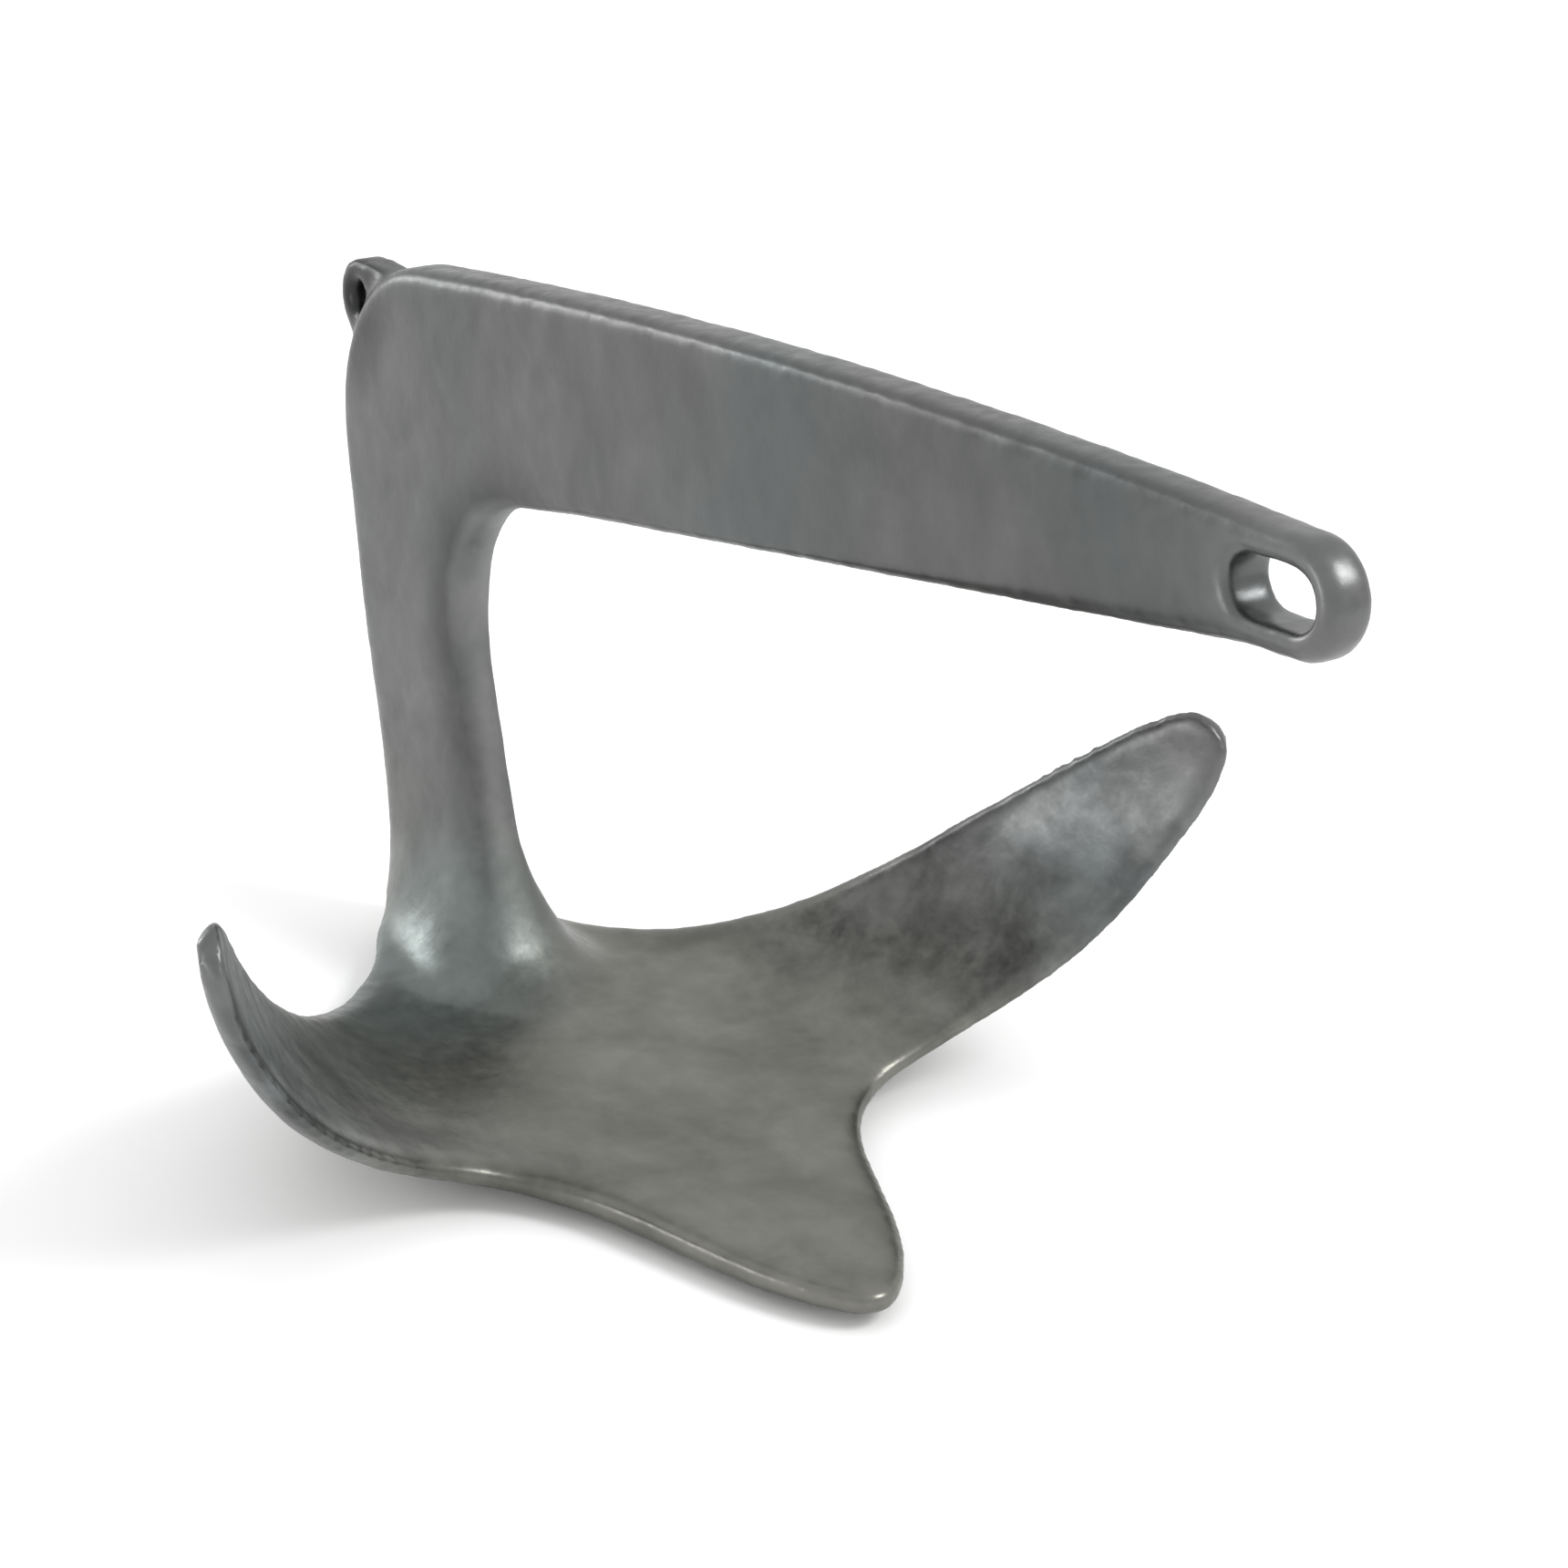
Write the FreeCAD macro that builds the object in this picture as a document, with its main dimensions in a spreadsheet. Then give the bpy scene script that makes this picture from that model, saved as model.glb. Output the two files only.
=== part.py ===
import FreeCAD, Part
import math
import os
import Sketcher

doc = FreeCAD.newDocument("claw_anchor")
vec = FreeCAD.Vector

# Driving dimensions, in millimetres
sizes = doc.addObject("Spreadsheet::Sheet", "sizes")
SIZE_VALUES = {
    # shank, drawn in the anchor's middle plane
    "shank_thick": 19.5,
    "shank_edge_radius": 5.2,
    "leg_back_foot": 41.7,
    "leg_front_foot": 41.0,
    "corner_back": 101.6,
    "corner_top": 231.6,
    "corner_radius": 62.0,
    "throat_back": 24.6,
    "throat_top": 172.5,
    "throat_radius": 50.0,
    "crown_radius": 3800.0,
    # shackle eye at the end of the arm
    "eye_forward": 426.8,
    "eye_up": 306.6,
    "eye_outer_radius": 16.5,
    "arm_low_drop": 14.8,
    "slot_length": 35.0,
    "slot_width": 16.5,
    "slot_tilt": 9.0,
    "slot_lip_radius": 2.2,
    # the arm's sides draw in towards the eye from here
    "taper_start": 60.0,
    "eye_thick": 16.5,
    # trip-line ear behind the corner
    "ear_back": 82.0,
    "ear_up": 222.0,
    "ear_radius": 13.5,
    "ear_thick": 12.0,
    "ear_hole_radius": 5.5,
    "ear_root_drop": 32.0,
    "ear_root_rise": 17.0,
    "ear_root_forward": 9.0,
    # claw: flat palm between two conical flanks; a girth is measured from the middle
    # plane along the upper face, a forward length along the keel
    "palm_half_width": 42.0,
    "palm_thick": 14.0,
    "sole_cut": 0.6,
    "flank_radius_back": 40.1,
    "flank_growth": 0.562,
    "fluke_thick": 8.0,
    "heel_back": 37.0,
    "heel_half_width": 12.0,
    "heel_round": 3.0,
    "hip_forward": -21.8,
    "hip_girth": 22.0,
    "waist_forward": 17.4,
    "waist_girth": 50.9,
    "shoulder_forward": 93.6,
    "shoulder_girth": 145.5,
    "tip_forward": 170.0,
    "tip_girth": 229.5,
    "tip_radius": 8.5,
    "back_heading": 46.3,
    "front_heading": 79.2,
    "belly_forward": 159.2,
    "belly_girth": 141.1,
    "notch_forward": 150.9,
    "notch_girth": 66.9,
    "centre_root_forward": 189.6,
    "centre_root_girth": 41.0,
    "centre_shoulder_forward": 250.2,
    "centre_shoulder_girth": 13.9,
    "centre_tip_forward": 260.5,
    # foot, where the leg spreads into the palm
    "foot_rise": 62.0,
    "foot_rear_spread": 5.0,
    "foot_side_spread": 28.0,
    "foot_front_rise": 40.0,
    "foot_front_spread": 22.0,
}
for row, (name, value) in enumerate(SIZE_VALUES.items(), start=1):
    sizes.set("A%d" % row, name)
    sizes.set("B%d" % row, str(value))
    sizes.setAlias("B%d" % row, name)
doc.recompute()


def size(name):
    return float(getattr(sizes, name))


def plane(body, role):
    return next(o for o in body.Origin.OriginFeatures if o.Role == role)


def new_sketch(body, name, role):
    sketch = body.newObject("Sketcher::SketchObject", name)
    sketch.AttachmentSupport = [(plane(body, role), "")]
    sketch.MapMode = "FlatFace"
    return sketch


def pin_point(sketch, geo, point, name, forward, up):
    """Holds one end of a line at a place given by two formulas of the driving sizes."""
    drawn = sketch.getPoint(geo, point)
    held = (("DistanceX", "x", drawn.x, forward), ("DistanceY", "y", drawn.y, up))
    for kind, axis, value, formula in held:
        index = sketch.addConstraint(Sketcher.Constraint(kind, -1, 1, geo, point, value))
        label = "%s_%s" % (name, axis)
        sketch.renameConstraint(index, label)
        sketch.setExpression("Constraints." + label, formula)


def fix_radius(sketch, geo, name, formula):
    index = sketch.addConstraint(Sketcher.Constraint("Radius", geo, sketch.Geometry[geo].Radius))
    sketch.renameConstraint(index, name)
    sketch.setExpression("Constraints." + name, formula)


def symmetric_pad(body, name, sketch, thickness):
    pad = body.newObject("PartDesign::Pad", name)
    pad.Profile = sketch
    pad.Midplane = True
    pad.setExpression("Length", thickness)
    doc.recompute()
    return pad


def through_pocket(body, name, sketch, thickness):
    pocket = body.newObject("PartDesign::Pocket", name)
    pocket.Profile = sketch
    pocket.Midplane = True
    pocket.setExpression("Length", thickness + " * 2")
    doc.recompute()
    return pocket


def round_edges(body, name, base, keep, radius):
    """Fillet on the edges of base that the test keep accepts."""
    names = ["Edge%d" % (i + 1) for i, edge in enumerate(base.Shape.Edges) if keep(edge)]
    fillet = body.newObject("PartDesign::Fillet", name)
    fillet.Base = (base, names)
    fillet.setExpression("Radius", radius)
    doc.recompute()
    return fillet


def edge_runs_across(edge):
    start, end = edge.Vertexes[0].Point, edge.Vertexes[-1].Point
    return abs(end.y - start.y) > size("shank_thick") * 0.9


def edge_near(edge, forward, up, reach):
    middle = edge.CenterOfMass
    return math.hypot(middle.x - forward, middle.z - up) < reach


# Shank: leg and arm are one flat bar in the middle plane, deepest at the corner and
# slimmer towards the eye. Its top runs in a slight crown.
shank = doc.addObject("PartDesign::Body", "shank")
shank.Label = "shank"
outline = new_sketch(shank, "shank_outline", "XZ_Plane")
FOOT_LEVEL = "sizes.palm_thick / 2"
corners = [
    ("heel", "-sizes.leg_back_foot", FOOT_LEVEL),
    ("corner", "-sizes.corner_back", "sizes.corner_top"),
    ("arm_top", "sizes.eye_forward", "sizes.eye_up + sizes.eye_outer_radius"),
    ("arm_low", "sizes.eye_forward", "sizes.eye_up - sizes.arm_low_drop"),
    ("throat", "-sizes.throat_back", "sizes.throat_top"),
    ("foot", "sizes.leg_front_foot", FOOT_LEVEL),
]
eye_r = size("eye_outer_radius")
face_y = size("shank_thick") / 2
places = [
    vec(-size("leg_back_foot"), size("palm_thick") / 2, 0),
    vec(-size("corner_back"), size("corner_top"), 0),
    vec(size("eye_forward"), size("eye_up") + eye_r, 0),
    vec(size("eye_forward"), size("eye_up") - size("arm_low_drop"), 0),
    vec(-size("throat_back"), size("throat_top"), 0),
    vec(size("leg_front_foot"), size("palm_thick") / 2, 0),
]
chord = places[2] - places[1]
crown_rise = size("crown_radius") - math.sqrt(size("crown_radius") ** 2 - (chord.Length / 2) ** 2)
crown_middle = (places[1] + places[2]) / 2 + vec(-chord.y, chord.x, 0).normalize() * crown_rise
CROWN = 1
for i, (start, end) in enumerate(zip(places, places[1:] + places[:1])):
    side = Part.Arc(end, crown_middle, start) if i == CROWN else Part.LineSegment(start, end)
    outline.addGeometry(side, False)
# an arc is drawn anticlockwise, so the crown's own start is its forward end
STARTS = [2 if i == CROWN else 1 for i in range(len(corners))]
ENDS = [1 if i == CROWN else 2 for i in range(len(corners))]
for i, (name, forward, up) in enumerate(corners):
    before = (i - 1) % len(corners)
    outline.addConstraint(Sketcher.Constraint("Coincident", before, ENDS[before], i, STARTS[i]))
    pin_point(outline, i, STARTS[i], name, forward, up)
fix_radius(outline, CROWN, "crown_radius", "sizes.crown_radius")
bar = symmetric_pad(shank, "bar", outline, "sizes.shank_thick")
throat = round_edges(
    shank, "throat_bend", bar,
    lambda e: edge_runs_across(e) and edge_near(e, -size("throat_back"), size("throat_top"), face_y),
    "sizes.throat_radius",
)
corner = round_edges(
    shank, "corner_bend", throat,
    lambda e: edge_runs_across(e) and edge_near(e, -size("corner_back"), size("corner_top"), face_y),
    "sizes.corner_radius",
)


def draw_stadium(sketch, name, radius_name, radius):
    """Draws the shape of the shackle's slot, or its outer wall, about the line of the arm's end."""
    tilt = math.radians(size("slot_tilt"))
    along = vec(math.cos(tilt), math.sin(tilt), 0)
    beside = vec(-along.y, along.x, 0) * radius
    front = vec(size("eye_forward"), size("eye_up"), 0)
    back = front - along * (size("slot_length") - size("slot_width"))
    for side in (
        Part.Arc(front - beside, front + along * radius, front + beside),
        Part.LineSegment(front + beside, back + beside),
        Part.Arc(back + beside, back - along * radius, back - beside),
        Part.LineSegment(back - beside, front - beside),
    ):
        sketch.addGeometry(side, False)
    for join in ((0, 2, 1, 1), (1, 2, 2, 1), (2, 2, 3, 1), (3, 2, 0, 1)):
        sketch.addConstraint(Sketcher.Constraint("Tangent", *join))
    sketch.addConstraint(Sketcher.Constraint("Equal", 0, 2))
    run = "(sizes.slot_length - sizes.slot_width)"
    pin_point(sketch, 0, 3, name + "_front", "sizes.eye_forward", "sizes.eye_up")
    pin_point(
        sketch, 2, 3, name + "_back",
        "sizes.eye_forward - %s * cos(sizes.slot_tilt * 1deg)" % run,
        "sizes.eye_up - %s * sin(sizes.slot_tilt * 1deg)" % run,
    )
    fix_radius(sketch, 0, name + "_radius", radius_name)
    return Part.LineSegment(vec(back.x, 0, back.y), vec(front.x, 0, front.y)).toShape()


# Eye: a round end on the arm, drawn at an even wall round the slot for the shackle's pin.
boss_sketch = new_sketch(shank, "eye_outline", "XZ_Plane")
draw_stadium(boss_sketch, "eye", "sizes.eye_outer_radius", eye_r)
boss = symmetric_pad(shank, "eye", boss_sketch, "sizes.shank_thick")

# The arm's sides draw in towards the eye along shallow arcs, seen from above.
taper_sketch = new_sketch(shank, "taper_outline", "XY_Plane")
taper_start = size("taper_start")
taper_run = size("eye_forward") + eye_r * 2 - taper_start
taper_drop = (size("shank_thick") - size("eye_thick")) / 2
TAPER_RADIUS = "((sizes.eye_forward - sizes.taper_start)^2 / (sizes.shank_thick - sizes.eye_thick))"
taper_radius = (size("eye_forward") - taper_start) ** 2 / taper_drop / 2


def taper_side(side, first, name):
    """One side's waste: outside the arc and past the end of the eye."""
    end_drop = taper_radius - math.sqrt(taper_radius ** 2 - taper_run ** 2)
    half_drop = taper_radius - math.sqrt(taper_radius ** 2 - (taper_run / 2) ** 2)
    near = vec(taper_start, face_y * side, 0)
    middle = vec(taper_start + taper_run / 2, (face_y - half_drop) * side, 0)
    far = vec(taper_start + taper_run, (face_y - end_drop) * side, 0)
    outer = vec(far.x, near.y * 2, 0)
    beside = vec(near.x, near.y * 2, 0)
    taper_sketch.addGeometry(Part.Arc(near, middle, far), False)
    start, end = (2, 1) if side > 0 else (1, 2)
    for ends in ((far, outer), (outer, beside), (beside, near)):
        taper_sketch.addGeometry(Part.LineSegment(*ends), False)
    for join in (
        (first, end, first + 1, 1),
        (first + 1, 2, first + 2, 1),
        (first + 2, 2, first + 3, 1),
        (first + 3, 2, first, start),
    ):
        taper_sketch.addConstraint(Sketcher.Constraint("Coincident", *join))
    across = "sizes.shank_thick" if side > 0 else "-sizes.shank_thick"
    away = "sizes.eye_forward + 2 * sizes.eye_outer_radius"
    centre = "%s / 2 %s %s" % (across, "-" if side > 0 else "+", TAPER_RADIUS)
    pin_point(taper_sketch, first, 3, name + "_centre", "sizes.taper_start", centre)
    pin_point(taper_sketch, first + 2, 1, name + "_outer", away, across)
    pin_point(taper_sketch, first + 2, 2, name + "_beside", "sizes.taper_start", across)
    pin_point(taper_sketch, first + 3, 2, name + "_near", "sizes.taper_start", across + " / 2")
    taper_sketch.addConstraint(Sketcher.Constraint("Vertical", first + 1))


taper_side(1, 0, "far")
taper_side(-1, 4, "near")
taper = shank.newObject("PartDesign::Pocket", "arm_taper")
taper.Profile = taper_sketch
taper.Midplane = True
taper.setExpression("Length", "(sizes.eye_up + sizes.eye_outer_radius) * 3")
doc.recompute()


def side_face_at(forward):
    """Half the bar's thickness at a place along it."""
    return face_y - taper_radius + math.sqrt(taper_radius ** 2 - max(forward - taper_start, 0.0) ** 2)


def edge_on_side_face(edge):
    places = [vertex.Point for vertex in edge.Vertexes]
    places.append(edge.valueAt((edge.FirstParameter + edge.LastParameter) / 2))
    return all(abs(abs(place.y) - side_face_at(place.x)) < 0.02 for place in places)


# The long edges of the casting are well rounded.
rounded = round_edges(
    shank, "rounded_edges", taper,
    lambda e: edge_on_side_face(e) and e.CenterOfMass.z > size("palm_thick"),
    "sizes.shank_edge_radius",
)

slot_sketch = new_sketch(shank, "slot_outline", "XZ_Plane")
slot_r = size("slot_width") / 2
slot_line = draw_stadium(slot_sketch, "slot", "sizes.slot_width / 2", slot_r)
slot = through_pocket(shank, "slot", slot_sketch, "sizes.shank_thick")


def edge_bounds_slot(edge):
    """True where both ends of an edge on a side face lie half a slot's width from the slot's line."""
    gaps = [Part.Vertex(v.X, 0, v.Z).distToShape(slot_line)[0] for v in edge.Vertexes]
    return edge_on_side_face(edge) and all(abs(gap - slot_r) < 0.01 for gap in gaps)


lips = round_edges(
    shank, "slot_lips", slot,
    edge_bounds_slot,
    "sizes.slot_lip_radius",
)

# Ear: a thin lug behind the corner, with a small hole for a trip line. Its outline is a
# disc that runs out along straight lines into the arm's top and the back of the leg.
ear_sketch = new_sketch(shank, "ear_outline", "XZ_Plane")
ear_centre = vec(-size("ear_back"), size("ear_up"), 0)
ear_r = size("ear_radius")
ear_top = vec(-size("leg_back_foot"), size("ear_up") + size("ear_root_rise"), 0)
ear_inside = vec(-size("leg_back_foot"), size("ear_up") - size("ear_root_drop"), 0)
ear_low = vec(-size("ear_back") + size("ear_root_forward"), size("ear_up") - size("ear_root_drop"), 0)
ear_above = ear_centre + vec(0, ear_r, 0)
ear_below = ear_centre - vec(0, ear_r, 0)
ear_sketch.addGeometry(Part.Arc(ear_above, ear_centre - vec(ear_r, 0, 0), ear_below), False)
ear_places = [ear_below, ear_low, ear_inside, ear_top, ear_above]
for ends in zip(ear_places, ear_places[1:]):
    ear_sketch.addGeometry(Part.LineSegment(*ends), False)
for join in ((0, 2, 1, 1), (4, 2, 0, 1)):
    ear_sketch.addConstraint(Sketcher.Constraint("Tangent", *join))
for join in ((1, 2, 2, 1), (2, 2, 3, 1), (3, 2, 4, 1)):
    ear_sketch.addConstraint(Sketcher.Constraint("Coincident", *join))
pin_point(ear_sketch, 0, 3, "ear", "-sizes.ear_back", "sizes.ear_up")
fix_radius(ear_sketch, 0, "ear_radius", "sizes.ear_radius")
EAR_LOW = "sizes.ear_up - sizes.ear_root_drop"
pin_point(ear_sketch, 2, 1, "ear_low", "-sizes.ear_back + sizes.ear_root_forward", EAR_LOW)
pin_point(ear_sketch, 3, 1, "ear_inside", "-sizes.leg_back_foot", EAR_LOW)
pin_point(ear_sketch, 4, 1, "ear_top", "-sizes.leg_back_foot", "sizes.ear_up + sizes.ear_root_rise")
ear = symmetric_pad(shank, "ear", ear_sketch, "sizes.ear_thick")
hole_sketch = new_sketch(shank, "ear_hole_outline", "XZ_Plane")
hole_sketch.addGeometry(Part.Circle(ear_centre, vec(0, 0, 1), size("ear_hole_radius")), False)
pin_point(hole_sketch, 0, 3, "hole", "-sizes.ear_back", "sizes.ear_up")
fix_radius(hole_sketch, 0, "hole_radius", "sizes.ear_hole_radius")
ear_hole = through_pocket(shank, "ear_hole", hole_sketch, "sizes.shank_thick")


# Claw: one thick plate. Its upper face is flat across the palm and bends up on each side
# as a cone that opens towards the front, so that each side fluke is a scoop.
def on_upper_face(forward, girth):
    """The point of the upper face at a girth from the middle plane, and its outward normal."""
    beyond = abs(girth) - size("palm_half_width")
    if beyond <= 0:
        return vec(forward, girth, size("palm_thick")), vec(0, 0, 1)
    radius = size("flank_radius_back") + size("flank_growth") * forward
    turn = beyond / radius
    out = math.copysign(size("palm_half_width") + radius * math.sin(turn), girth)
    up = size("palm_thick") + radius * (1 - math.cos(turn))
    lean = size("flank_growth") * (1 - math.cos(turn))
    normal = vec(lean, math.copysign(math.sin(turn), -girth), math.cos(turn))
    return vec(forward, out, up), normal.normalize()


# Outline of the far half of the claw, flattened: forward along x and girth along y. Two
# smooth edges run into the round end of the side fluke.
def flat(name):
    return vec(size(name + "_forward"), size(name + "_girth"), 0)


ACROSS = vec(0, 1, 0)


def direction(degrees):
    return vec(math.cos(math.radians(degrees)), math.sin(math.radians(degrees)), 0)


def tip_point(degrees):
    """A point of the round end of the side fluke, by its direction from the end's centre."""
    return flat("tip") + direction(degrees) * size("tip_radius")


QUARTER = 90.0
back_leave = size("back_heading") + QUARTER
front_leave = size("front_heading") - QUARTER
TIP_RUN = 2.0


def claw_edge(middle, shaping, leave, heading):
    """One edge, smooth across the middle plane, with a straight run into the round end."""
    end = tip_point(leave)
    run_start = end - direction(heading) * size("tip_radius") * TIP_RUN
    mirrored = vec(shaping[0].x, -shaping[0].y, 0)
    edge = Part.BSplineCurve()
    edge.interpolate([mirrored, middle] + shaping + [run_start, end])
    return edge


heel = vec(-size("heel_back"), 0, 0)
heel_side = vec(-size("heel_back") + size("heel_round"), size("heel_half_width"), 0)
centre_tip = vec(size("centre_tip_forward"), 0, 0)
back_edge = claw_edge(
    heel, [heel_side, flat("hip"), flat("waist"), flat("shoulder")],
    back_leave, size("back_heading"),
)
front_edge = claw_edge(
    centre_tip, [flat("centre_shoulder"), flat("centre_root"), flat("notch"), flat("belly")],
    front_leave, size("front_heading"),
)


def length_to_girth(edge, girth):
    """How far along an edge it reaches a girth."""
    low, high = 0.0, edge.length()
    for _ in range(50):
        middle = (low + high) / 2
        if edge.value(edge.parameterAtDistance(middle)).y < girth:
            low = middle
        else:
            high = middle
    return low


def along_edge(edge, length):
    return edge.value(edge.parameterAtDistance(length))


PALM_STEPS = 4
FLUKE_STEPS = 5
TIP_SHARES = (0.4, 0.7, 0.88)
stations = []
for i in range(PALM_STEPS + 1):
    girth = size("notch_girth") * i / PALM_STEPS
    stations.append([along_edge(edge, length_to_girth(edge, girth)) for edge in (back_edge, front_edge)])
starts = [length_to_girth(edge, size("notch_girth")) for edge in (back_edge, front_edge)]
for i in range(1, FLUKE_STEPS + 1):
    share = i / FLUKE_STEPS
    stations.append([
        along_edge(edge, start + (edge.length() - start) * share)
        for edge, start in zip((back_edge, front_edge), starts)
    ])
apex = (back_leave + front_leave) / 2
for share in TIP_SHARES:
    stations.append([tip_point(leave + (apex - leave) * share) for leave in (back_leave, front_leave)])

SECTION_SHARES = [0.0, 0.15, 0.5, 0.85, 1.0]
EDGE_SHARE = 0.6
EDGE_BULGE = 0.38
EDGE_BEVEL = 0.28
FLATNESS = 6


def curve_through(points, shares):
    """A smooth edge through points; the same shares in every section keep the loft's faces simple."""
    curve = Part.BSplineCurve()
    curve.interpolate(Points=points, Parameters=shares)
    return curve.toShape()


def plate_section(back, front, thickness):
    """Closed section of the plate from its back edge to its front edge, with bevelled ends."""
    tops, lows = [], []
    edge_depth = thickness * EDGE_SHARE
    for share in SECTION_SHARES:
        place = back + (front - back) * share
        fullness = 1 - abs(2 * share - 1) ** FLATNESS
        top, normal = on_upper_face(place.x, place.y)
        tops.append(top)
        lows.append(top - normal * (edge_depth + (thickness - edge_depth) * fullness))
    front_out = (tops[-1] - tops[-2]).normalize() * edge_depth * EDGE_BULGE
    back_out = (tops[0] - tops[1]).normalize() * edge_depth * EDGE_BULGE
    bevels = []
    for high, low, out in ((tops[-1], lows[-1], front_out), (lows[0], tops[0], back_out)):
        rise = (low - high) * EDGE_BEVEL
        corners = [high, high + rise + out, low - rise + out, low]
        bevels.append([Part.LineSegment(*ends).toShape() for ends in zip(corners, corners[1:])])
    return Part.Wire([
        curve_through(tops, SECTION_SHARES), *bevels[0],
        curve_through(lows[::-1], SECTION_SHARES), *bevels[1],
    ])


def claw_sections(side):
    """Sections from the middle plane to one tip; side is 1 or -1."""
    found = []
    for back, front in stations:
        beyond = max((back.y + front.y) / 2 - size("palm_half_width"), 0.0)
        share = beyond / (size("tip_girth") - size("palm_half_width"))
        palm_depth = size("palm_thick") + size("sole_cut")
        thickness = palm_depth + (size("fluke_thick") - palm_depth) * share
        ends = [vec(end.x, end.y * side, 0) for end in (back, front)]
        found.append(plate_section(*ends, thickness))
    return found


near_side = claw_sections(-1)[:0:-1]
far_side = claw_sections(1)
skin = Part.makeLoft(near_side + far_side, False, False, False)
caps = [Part.makeFilledFace(wire.Edges) for wire in (near_side[0], far_side[-1])]
shell = Part.Shell(Part.makeCompound(skin.Faces + caps).Faces)
shell.sewShape()
plate = doc.addObject("Part::Feature", "claw_plate")
plate.Shape = Part.Solid(shell)

# Foot: the leg's sides spread into the palm through hollow curves, higher at the sides than in front.
LEG_LOW = size("palm_thick") / 2
FOOT_ROUND = size("shank_edge_radius") * 0.6
INSIDE = size("shank_edge_radius") / 10
INSET_GROWTH = 6.5
SIDE_SHARE = 0.55
FRONT_WIDTH = 0.85
FRONT_ROUND = 0.4
RING_SHARES = [0.0, 0.06, 0.22, 0.36, 0.42, 0.58, 0.64, 0.78, 0.94, 1.0, 1.16]


def leg_back(up):
    rate = (size("corner_back") - size("leg_back_foot")) / (size("corner_top") - LEG_LOW)
    return -size("leg_back_foot") - (up - LEG_LOW) * rate


def leg_front(up):
    rate = (size("leg_front_foot") + size("throat_back")) / (size("throat_top") - LEG_LOW)
    return size("leg_front_foot") - (up - LEG_LOW) * rate


def hollow(height, rise, spread):
    """How far a hollow quarter curve stands off the leg at a height over the palm."""
    if height >= rise:
        return 0.0
    return spread * (1 - math.sqrt(1 - (1 - max(height, 0.0) / rise) ** 2))


def foot_ring(share):
    """Section of the foot at a share of its rise over the palm, rounded at its corners."""
    height = size("foot_rise") * share
    up = size("palm_thick") + height
    rear = hollow(height, size("foot_rise"), size("foot_rear_spread"))
    side = hollow(height, size("foot_rise"), size("foot_side_spread"))
    front = hollow(height, size("foot_front_rise"), size("foot_front_spread"))
    inset = INSIDE * (1 + INSET_GROWTH * share ** 2)
    back_x, front_x = leg_back(up) + inset, leg_front(up) - inset + front
    side_x = back_x + (front_x - back_x) * SIDE_SHARE
    rear_y, side_y = face_y - inset + rear, face_y - inset + side
    front_y = face_y - inset + side * FRONT_WIDTH
    half = [
        vec(back_x, rear_y - FOOT_ROUND, up),
        vec(back_x + FOOT_ROUND, rear_y, up),
        vec(side_x, side_y, up),
        vec(front_x - FOOT_ROUND - front * FRONT_ROUND, front_y, up),
        vec(front_x, front_y - FOOT_ROUND - side * FRONT_ROUND, up),
    ]
    mirrored = [vec(point.x, -point.y, point.z) for point in reversed(half)]
    ring = Part.BSplineCurve()
    ring.interpolate(Points=half + mirrored, Parameters=RING_SHARES, PeriodicFlag=True)
    return Part.Wire([ring.toShape()])


FOOT_SHARES = (1.08, 0.85, 0.65, 0.47, 0.32, 0.2, 0.11, 0.05, 0.01, -0.02)
foot_rings = [foot_ring(share) for share in FOOT_SHARES]
foot = doc.addObject("Part::Feature", "foot_spread")
foot.Shape = Part.makeLoft(foot_rings, True, False, False)

casting = doc.addObject("Part::MultiFuse", "casting")
casting.Shapes = [shank, plate, foot]

# The casting's underside is dressed flat, so that it stands on its palm.
waste = doc.addObject("Part::Box", "sole_waste")
waste.setExpression("Length", "sizes.centre_tip_forward * 2")
waste.setExpression("Width", "sizes.tip_girth * 2")
waste.setExpression("Height", "sizes.palm_thick")
waste.setExpression("Placement.Base.x", "-sizes.centre_tip_forward / 2")
waste.setExpression("Placement.Base.y", "-sizes.tip_girth")
waste.setExpression("Placement.Base.z", "-sizes.palm_thick")
anchor = doc.addObject("Part::Cut", "claw_anchor")
anchor.Base = casting
anchor.Tool = waste
anchor.Label = "claw_anchor"
# The origin is under the middle of the anchor's length, on the ground.
ear_end = size("ear_back") + size("ear_radius")
eye_end = size("eye_forward") + size("eye_outer_radius")
anchor.Placement = FreeCAD.Placement(vec((ear_end - eye_end) / 2, 0, 0), FreeCAD.Rotation())
doc.recompute()

for built in doc.Objects:
    if "Invalid" in built.State or "Error" in built.State:
        raise RuntimeError("%s did not compute" % built.Name)
    if hasattr(built, "Shape") and (built.Shape.isNull() or not built.Shape.isValid()):
        raise RuntimeError("%s has no valid shape" % built.Name)

os.makedirs("parts", exist_ok=True)
anchor.Shape.exportStep("parts/claw_anchor.step")
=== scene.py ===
import bpy
from mathutils import Matrix, Vector


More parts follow.
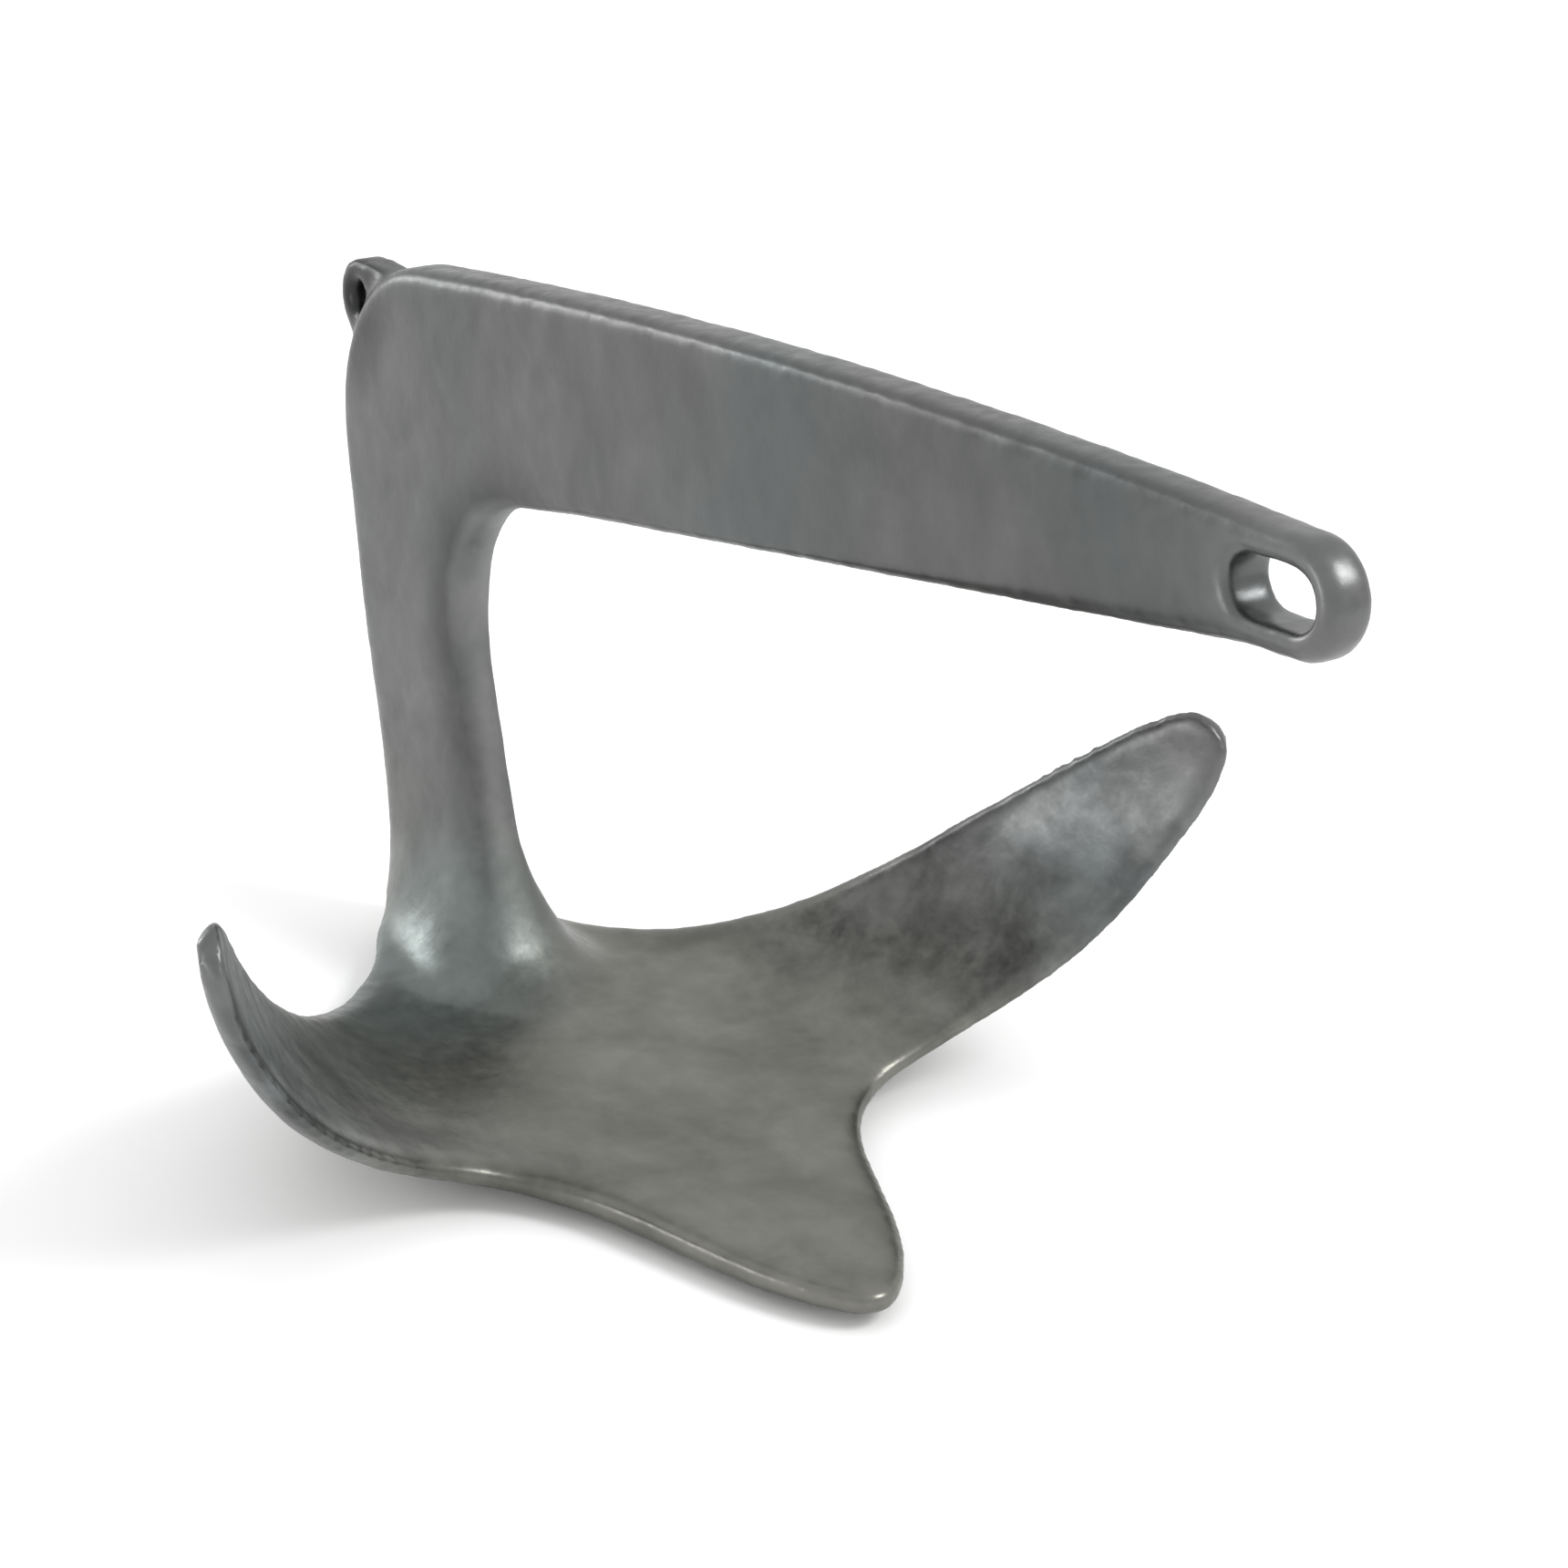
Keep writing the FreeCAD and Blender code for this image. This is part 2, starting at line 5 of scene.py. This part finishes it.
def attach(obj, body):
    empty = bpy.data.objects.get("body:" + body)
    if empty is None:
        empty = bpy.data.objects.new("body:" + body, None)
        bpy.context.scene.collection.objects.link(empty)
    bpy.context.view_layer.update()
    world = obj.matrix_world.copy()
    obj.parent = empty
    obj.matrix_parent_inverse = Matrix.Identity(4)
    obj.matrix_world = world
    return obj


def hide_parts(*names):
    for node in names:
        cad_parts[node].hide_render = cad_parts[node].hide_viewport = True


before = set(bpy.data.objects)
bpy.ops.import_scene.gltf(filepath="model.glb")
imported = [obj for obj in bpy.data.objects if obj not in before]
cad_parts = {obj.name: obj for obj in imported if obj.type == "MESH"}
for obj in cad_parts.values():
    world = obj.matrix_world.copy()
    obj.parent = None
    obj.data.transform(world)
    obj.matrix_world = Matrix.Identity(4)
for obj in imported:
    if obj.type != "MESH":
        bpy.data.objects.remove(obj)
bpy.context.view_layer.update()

# Casting: the whole anchor is one piece of cast steel, poured in sand and hot-dip galvanised.
# Its shank, claw, eye and ear run into each other through soft hollows, and the zinc rounds
# every edge a little more.
MM = 0.001
WELD_DISTANCE = 0.02 * MM
SKIN_GRAIN = 1.8 * MM

cad_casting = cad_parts["claw_anchor"]
casting = cad_casting.copy()
casting.data = cad_casting.data.copy()
casting.name = "anchor_casting"
bpy.context.collection.objects.link(casting)
casting.parent = None
casting.matrix_world = Matrix.Identity(4)
bpy.ops.object.select_all(action="DESELECT")
bpy.context.view_layer.objects.active = casting
casting.select_set(True)
bpy.ops.object.mode_set(mode="EDIT")
bpy.ops.mesh.select_all(action="SELECT")
bpy.ops.mesh.remove_doubles(threshold=WELD_DISTANCE)
bpy.ops.mesh.normals_make_consistent(inside=False)
bpy.ops.object.mode_set(mode="OBJECT")


def finish_modifier(piece, kind, **settings):
    """Adds a modifier, sets it and applies it."""
    modifier = piece.modifiers.new(kind.lower(), kind)
    for name, value in settings.items():
        setattr(modifier, name, value)
    bpy.ops.object.modifier_apply(modifier=modifier.name)


# An even skin of small faces lets the sharp creases of the pattern melt as they do in sand.
finish_modifier(casting, "REMESH", mode="VOXEL", voxel_size=SKIN_GRAIN, adaptivity=0.0)
finish_modifier(casting, "SMOOTH", factor=0.5, iterations=6)


def ramp_share(value, none, full):
    """0 up to none, 1 from full on, and a straight rise between them."""
    return min(1.0, max(0.0, (value - none) / (full - none)))


# The faces that look into the throat have the best rounded corners, and the foot runs out
# of the leg in one soft hollow. All reaches in the two loops below are in millimetres.
THROAT_MIDDLE = Vector((-60.0, 0.0, 130.0)) * MM
FOOT_MIDDLE = Vector((-175.0, 0.0, 52.0)) * MM
throat_faces = casting.vertex_groups.new(name="throat_faces")
foot_hollow = casting.vertex_groups.new(name="foot_hollow")
for point in casting.data.vertices:
    facing = point.normal.dot((THROAT_MIDDLE - point.co).normalized())
    throat_faces.add([point.index], ramp_share(facing, none=0.0, full=0.5), "REPLACE")
    nearness = ramp_share((point.co - FOOT_MIDDLE).length / MM, none=84.0, full=55.0)
    above_palm = ramp_share(point.co.z / MM, none=13.0, full=20.0)
    foot_hollow.add([point.index], nearness * above_palm, "REPLACE")
finish_modifier(casting, "SMOOTH", factor=0.5, iterations=32, vertex_group="throat_faces")
finish_modifier(casting, "SMOOTH", factor=0.5, iterations=70, vertex_group="foot_hollow")

# The leg's front is a full round up into the throat's corner. It is drawn forward a little
# and then melts into the sides. The corner is where the lines of the leg's front and of the
# arm's underside meet. The mesh keeps the share of this round as an attribute for the
# material, as the zinc lies thick and dull on it.
THROAT_CORNER = Vector((-198.5, 0.0, 172.5)) * MM
THROAT_RADIUS = 50.0 * MM
LEG_FACING = Vector((0.93, 0.0, 0.368))
ARM_FACING = Vector((0.235, 0.0, -0.972))
ROUND_SWELL = 2.5
leg_front = casting.vertex_groups.new(name="leg_front")
thick_zinc = casting.data.attributes.new("thick_zinc", "FLOAT", "POINT")
for point in casting.data.vertices:
    behind_leg = max(0.0, THROAT_RADIUS - (point.co - THROAT_CORNER).dot(LEG_FACING))
    over_arm = max(0.0, THROAT_RADIUS - (point.co - THROAT_CORNER).dot(ARM_FACING))
    outward = LEG_FACING * behind_leg + ARM_FACING * over_arm
    depth = (behind_leg ** 2 + over_arm ** 2) ** 0.5 - THROAT_RADIUS
    share = ramp_share(depth / MM, none=22.0, full=7.0)
    share *= ramp_share(point.co.z / MM, none=24.0, full=48.0)
    share *= ramp_share(point.co.x / MM, none=-105.0, full=-150.0)
    thick_zinc.data[point.index].value = share
    if share > 0.0:
        leg_front.add([point.index], share, "REPLACE")
        point.co += outward.normalized() * share * ROUND_SWELL * MM
finish_modifier(casting, "SMOOTH", factor=0.5, iterations=90, vertex_group="leg_front")

# Melting and swelling by turns takes the small ridges off and keeps the thickness.
MELTING_TURNS = 12
for turn in range(MELTING_TURNS):
    finish_modifier(casting, "SMOOTH", factor=0.6, iterations=3)
    finish_modifier(casting, "SMOOTH", factor=-0.62, iterations=3)
casting.vertex_groups.clear()

# Sand and zinc leave the skin gently uneven, and the sole stays level with the floor.
RIPPLE_SIZE = 13.0 * MM
RIPPLE_DEPTH = 0.5 * MM
ripple = bpy.data.textures.new("cast_ripple", "CLOUDS")
ripple.noise_scale = RIPPLE_SIZE
ripple.noise_depth = 2
finish_modifier(
    casting, "DISPLACE",
    texture=ripple, texture_coords="LOCAL", mid_level=0.5, strength=RIPPLE_DEPTH,
)
for point in casting.data.vertices:
    point.co.z = max(point.co.z, 0.0)
bpy.ops.object.shade_smooth()


def colour(code):
    """The linear colour of an sRGB hex code."""
    parts = [int(code[i:i + 2], 16) / 255 for i in (1, 3, 5)]
    linear = (p / 12.92 if p <= 0.04045 else ((p + 0.055) / 1.055) ** 2.4 for p in parts)
    return tuple(linear) + (1.0,)


def add_node(tree, kind, settings=None, values=None, links=None):
    """A node with its settings, its input values and its links, each from (node, output)."""
    node = tree.nodes.new(kind)
    for name, value in (settings or {}).items():
        setattr(node, name, value)
    for name, value in (values or {}).items():
        node.inputs[name].default_value = value
    for name, (source, output) in (links or {}).items():
        tree.links.new(source.outputs[output], node.inputs[name])
    return node


# Hot-dip galvanised cast steel, weathered: dull even grey with faint cooler clouds, blotches
# and a trace of olive silt low on the claw, bluer where water stays at the foot, painted
# shade on the shank towards the arm and at the ear, painted light on the throat's faces and a
# painted highlight at the eye, duller on the leg's front, with a fine sandy grain.
ZINC_GREY = "#646464"
ZINC_LIGHT = "#6d6d6d"
ZINC_DARK = "#5c5d5d"
ZINC_COOL = "#5f6a69"
SILT_OLIVE = "#6f6f68"
FOOT_BLUE = "#626b6a"
SHANK_PAINTED_SHADE = "#dadada"
EAR_PAINTED_SHADE = "#a8a8a8"
CLOUD_SIZE = 38 * MM
DRIFT_SIZE = 90 * MM
zinc = bpy.data.materials.new("galvanised_cast_steel")
zinc.use_nodes = True
tree = zinc.node_tree
tree.nodes.clear()
place = add_node(tree, "ShaderNodeTexCoord")
clouds = add_node(
    tree, "ShaderNodeTexNoise",
    values={"Scale": 1 / CLOUD_SIZE, "Detail": 4.0, "Roughness": 0.55, "Distortion": 0.4},
    links={"Vector": (place, "Object")},
)
ramp = add_node(tree, "ShaderNodeValToRGB", links={"Fac": (clouds, "Fac")})
ramp.color_ramp.elements[0].position = 0.3
ramp.color_ramp.elements[0].color = colour(ZINC_DARK)
ramp.color_ramp.elements[1].position = 0.7
ramp.color_ramp.elements[1].color = colour(ZINC_LIGHT)
middle = ramp.color_ramp.elements.new(0.5)
middle.color = colour(ZINC_GREY)
shifted = add_node(
    tree, "ShaderNodeMapping", values={"Location": (0.31, 0.17, 0.08)},
    links={"Vector": (place, "Object")},
)
drift = add_node(
    tree, "ShaderNodeTexNoise",
    values={"Scale": 1 / DRIFT_SIZE, "Detail": 3.0, "Roughness": 0.5},
    links={"Vector": (shifted, "Vector")},
)
cool_share = add_node(
    tree, "ShaderNodeMapRange", values={"From Min": 0.46, "From Max": 0.7, "To Max": 0.4},
    links={"Value": (drift, "Fac")},
)
cooled = add_node(
    tree, "ShaderNodeMixRGB", values={"Color2": colour(ZINC_COOL)},
    links={"Fac": (cool_share, "Result"), "Color1": (ramp, "Color")},
)
axes = add_node(tree, "ShaderNodeSeparateXYZ", links={"Vector": (place, "Object")})
silt_share = add_node(
    tree, "ShaderNodeMapRange",
    values={"From Min": 75 * MM, "From Max": 12 * MM, "To Max": 0.85},
    links={"Value": (axes, "Z")},
)
silted = add_node(
    tree, "ShaderNodeMixRGB", values={"Color2": colour(SILT_OLIVE)},
    links={"Fac": (silt_share, "Result"), "Color1": (cooled, "Color")},
)
# Water stays longest on the near side of the foot.
WET_FOOT = (-160 * MM, -38 * MM, 14 * MM)
from_foot = add_node(
    tree, "ShaderNodeVectorMath", settings={"operation": "DISTANCE"}, values={1: WET_FOOT},
    links={"Vector": (place, "Object")},
)
foot_share = add_node(
    tree, "ShaderNodeMapRange",
    values={"From Min": 70 * MM, "From Max": 30 * MM, "To Max": 0.8},
    links={"Value": (from_foot, "Value")},
)
footed = add_node(
    tree, "ShaderNodeMixRGB", values={"Color2": colour(FOOT_BLUE)},
    links={"Fac": (foot_share, "Result"), "Color1": (silted, "Color")},
)
# Painted shade: the shank's colour is darkened towards the arm and is darkest at the ear,
# standing in for the shade these faces get.
EAR_MIDDLE = (-262 * MM, 0.0, 224 * MM)
shank_share = add_node(
    tree, "ShaderNodeMapRange",
    values={"From Min": 100 * MM, "From Max": 240 * MM, "To Max": 0.9},
    links={"Value": (axes, "Z")},
)
shaded = add_node(
    tree, "ShaderNodeMixRGB", settings={"blend_type": "MULTIPLY"},
    values={"Color2": colour(SHANK_PAINTED_SHADE)},
    links={"Fac": (shank_share, "Result"), "Color1": (footed, "Color")},
)
from_ear = add_node(
    tree, "ShaderNodeVectorMath", settings={"operation": "DISTANCE"}, values={1: EAR_MIDDLE},
    links={"Vector": (place, "Object")},
)
ear_share = add_node(
    tree, "ShaderNodeMapRange", values={"From Min": 42 * MM, "From Max": 16 * MM},
    links={"Value": (from_ear, "Value")},
)
ear_painted_shade = add_node(
    tree, "ShaderNodeMixRGB", settings={"blend_type": "MULTIPLY"},
    values={"Color2": colour(EAR_PAINTED_SHADE)},
    links={"Fac": (ear_share, "Result"), "Color1": (shaded, "Color")},
)
# The zinc left blotches on the claw as it drained off. They are strongest on the side flukes.
BLOTCH_SIZE = 28 * MM
blotches = add_node(
    tree, "ShaderNodeTexNoise",
    values={"Scale": 1 / BLOTCH_SIZE, "Detail": 4.0, "Roughness": 0.6, "Distortion": 0.25},
    links={"Vector": (place, "Object")},
)
blotch_swing = add_node(
    tree, "ShaderNodeMapRange",
    values={"From Min": 0.32, "From Max": 0.68, "To Min": -0.25, "To Max": 0.25},
    links={"Value": (blotches, "Fac")},
)
blotch_reach = add_node(
    tree, "ShaderNodeMapRange",
    values={"From Min": 150 * MM, "From Max": 60 * MM, "To Max": 0.9},
    links={"Value": (axes, "Z")},
)
sideways = add_node(
    tree, "ShaderNodeMath", settings={"operation": "ABSOLUTE"}, links={0: (axes, "Y")},
)
fluke_gain = add_node(
    tree, "ShaderNodeMapRange",
    values={"From Min": 50 * MM, "From Max": 150 * MM, "To Min": 1.0, "To Max": 2.2},
    links={"Value": (sideways, "Value")},
)
blotch_depth = add_node(
    tree, "ShaderNodeMath", settings={"operation": "MULTIPLY"},
    links={0: (blotch_reach, "Result"), 1: (fluke_gain, "Result")},
)
blotch_tone = add_node(
    tree, "ShaderNodeMath", settings={"operation": "MULTIPLY_ADD"}, values={2: 1.0},
    links={0: (blotch_swing, "Result"), 1: (blotch_depth, "Value")},
)
blotched = add_node(
    tree, "ShaderNodeVectorMath", settings={"operation": "SCALE"},
    links={"Vector": (ear_painted_shade, "Color"), "Scale": (blotch_tone, "Value")},
)
# Painted light: the throat's own faces, which look forward and down, are painted brighter as
# if lit, and the eye is painted brighter as a highlight.
LIT_FACING = (0.8, 0.0, -0.6)
LEG_MIDDLE = (-165 * MM, 0.0, 120 * MM)
EYE_MIDDLE = (253 * MM, 0.0, 305 * MM)
into_throat = add_node(
    tree, "ShaderNodeVectorMath", settings={"operation": "DOT_PRODUCT"},
    values={1: LIT_FACING},
    links={"Vector": (place, "Normal")},
)
throat_painted_light = add_node(
    tree, "ShaderNodeMapRange", values={"From Min": 0.3, "From Max": 1.0},
    links={"Value": (into_throat, "Value")},
)
from_leg = add_node(
    tree, "ShaderNodeVectorMath", settings={"operation": "DISTANCE"}, values={1: LEG_MIDDLE},
    links={"Vector": (place, "Object")},
)
throat_light_reach = add_node(
    tree, "ShaderNodeMapRange",
    values={"From Min": 110 * MM, "From Max": 70 * MM, "To Max": 1.8},
    links={"Value": (from_leg, "Value")},
)
from_eye = add_node(
    tree, "ShaderNodeVectorMath", settings={"operation": "DISTANCE"}, values={1: EYE_MIDDLE},
    links={"Vector": (place, "Object")},
)
eye_painted_highlight = add_node(
    tree, "ShaderNodeMapRange",
    values={"From Min": 38 * MM, "From Max": 20 * MM, "To Min": 1.0, "To Max": 1.45},
    links={"Value": (from_eye, "Value")},
)
painted_light_gain = add_node(
    tree, "ShaderNodeMath", settings={"operation": "MULTIPLY_ADD"},
    links={0: (throat_painted_light, "Result"), 1: (throat_light_reach, "Result"), 2: (eye_painted_highlight, "Result")},
)
painted_lit_colour = add_node(
    tree, "ShaderNodeVectorMath", settings={"operation": "SCALE"},
    links={"Vector": (blotched, "Vector"), "Scale": (painted_light_gain, "Value")},
)
# Grain: fine specks vary the tone and the gloss, and sand pits the skin.
SPECK_SIZE = 5 * MM
PIT_SIZE = 2.5 * MM
PIT_DEPTH = 0.4 * MM
THICK_ZINC_DULLNESS = 0.3
specks = add_node(
    tree, "ShaderNodeTexNoise",
    values={"Scale": 1 / SPECK_SIZE, "Detail": 5.0, "Roughness": 0.6},
    links={"Vector": (place, "Object")},
)
grain = add_node(
    tree, "ShaderNodeMapRange",
    values={"From Min": 0.3, "From Max": 0.7, "To Min": 0.94, "To Max": 1.06},
    links={"Value": (specks, "Fac")},
)
toned = add_node(
    tree, "ShaderNodeVectorMath", settings={"operation": "SCALE"},
    links={"Vector": (painted_lit_colour, "Vector"), "Scale": (grain, "Result")},
)
dullness = add_node(
    tree, "ShaderNodeMapRange",
    values={"From Min": 0.3, "From Max": 0.7, "To Min": 0.28, "To Max": 0.42},
    links={"Value": (specks, "Fac")},
)
zinc_build = add_node(tree, "ShaderNodeAttribute", settings={"attribute_name": "thick_zinc"})
gloss_loss = add_node(
    tree, "ShaderNodeMath", settings={"operation": "MULTIPLY_ADD"},
    values={1: THICK_ZINC_DULLNESS},
    links={0: (zinc_build, "Fac"), 2: (dullness, "Result")},
)
pits = add_node(
    tree, "ShaderNodeTexNoise",
    values={"Scale": 1 / PIT_SIZE, "Detail": 3.0, "Roughness": 0.5},
    links={"Vector": (place, "Object")},
)
relief = add_node(
    tree, "ShaderNodeBump", values={"Strength": 0.15, "Distance": PIT_DEPTH},
    links={"Height": (pits, "Fac")},
)
surface = add_node(
    tree, "ShaderNodeBsdfPrincipled", values={"Metallic": 0.9},
    links={
        "Base Color": (toned, "Vector"),
        "Roughness": (gloss_loss, "Value"),
        "Normal": (relief, "Normal"),
    },
)
add_node(tree, "ShaderNodeOutputMaterial", links={"Surface": (surface, "BSDF")})
casting.data.materials.clear()
casting.data.materials.append(zinc)
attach(casting, "root")
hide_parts("claw_anchor")

# Floor: a plain flat white studio floor, matt, so that the anchor's shadow stays soft.
FLOOR_SIZE = 12.0
PAPER_WHITE = "#fdfdfd"
bpy.ops.mesh.primitive_plane_add(size=FLOOR_SIZE, location=(0, 0, 0))
floor = bpy.context.object
floor.name = "studio_floor"
paper = bpy.data.materials.new("matt_white_paper")
paper.use_nodes = True
paper_surface = paper.node_tree.nodes["Principled BSDF"]
paper_surface.inputs["Base Color"].default_value = colour(PAPER_WHITE)
paper_surface.inputs["Roughness"].default_value = 0.9
floor.data.materials.append(paper)

# Light: an even white room with a tall strip behind the anchor, a soft box low on its near
# side and one high in front on its far side.
ROOM_BRIGHTNESS = 1.02
world = bpy.data.worlds.new("white_room")
world.use_nodes = True
background = world.node_tree.nodes["Background"]
background.inputs["Color"].default_value = (1.0, 1.0, 1.0, 1.0)
background.inputs["Strength"].default_value = ROOM_BRIGHTNESS
bpy.context.scene.world = world
bpy.context.scene.view_settings.view_transform = "Standard"


def soft_box(name, place, target, width, height, power):
    """An area lamp at a place in metres, turned to its target, with its power in watts."""
    light = bpy.data.lights.new(name, "AREA")
    light.shape = "RECTANGLE"
    light.size = width
    light.size_y = height
    light.energy = power
    lamp = bpy.data.objects.new(name, light)
    lamp.location = place
    towards = Vector(target) - Vector(place)
    lamp.rotation_euler = towards.to_track_quat("-Z", "Y").to_euler()
    bpy.context.collection.objects.link(lamp)


soft_box(
    "left_strip", place=(-2.06, -0.74, 0.5), target=(-0.2, 0, 0.05),
    width=0.16, height=1.1, power=9.0,
)
soft_box(
    "near_box", place=(-0.25, -1.96, 0.35), target=(0.15, 0.15, 0.1),
    width=0.7, height=0.7, power=5.0,
)
soft_box(
    "high_back", place=(1.15, 1.0, 1.75), target=(0.25, 0, 0.27),
    width=0.75, height=0.75, power=20.0,
)

# Camera: to the right of the anchor's front, at the photograph's angle, with a long lens.
CAMERA_PLACE = Vector((1062.8, -687.1, 739.5)) * MM
CAMERA_RIGHT = Vector((0.5271, 0.8480, 0.0545))
CAMERA_BACK = Vector((0.7569, -0.4976, 0.4237)).normalized()
FOCAL_PIXELS = 5000.0
FRAME_PIXELS = 1720.0
SENSOR_WIDTH = 36.0
NEAREST_SEEN = 0.05
lens = bpy.data.cameras.new("camera")
lens.sensor_width = SENSOR_WIDTH
lens.lens = FOCAL_PIXELS / FRAME_PIXELS * SENSOR_WIDTH
lens.clip_start = NEAREST_SEEN
camera = bpy.data.objects.new("camera", lens)
up = CAMERA_BACK.cross(CAMERA_RIGHT).normalized()
right = up.cross(CAMERA_BACK)
turned = Matrix((right, up, CAMERA_BACK)).transposed().to_4x4()
camera.matrix_world = Matrix.Translation(CAMERA_PLACE) @ turned
bpy.context.collection.objects.link(camera)
bpy.context.scene.camera = camera
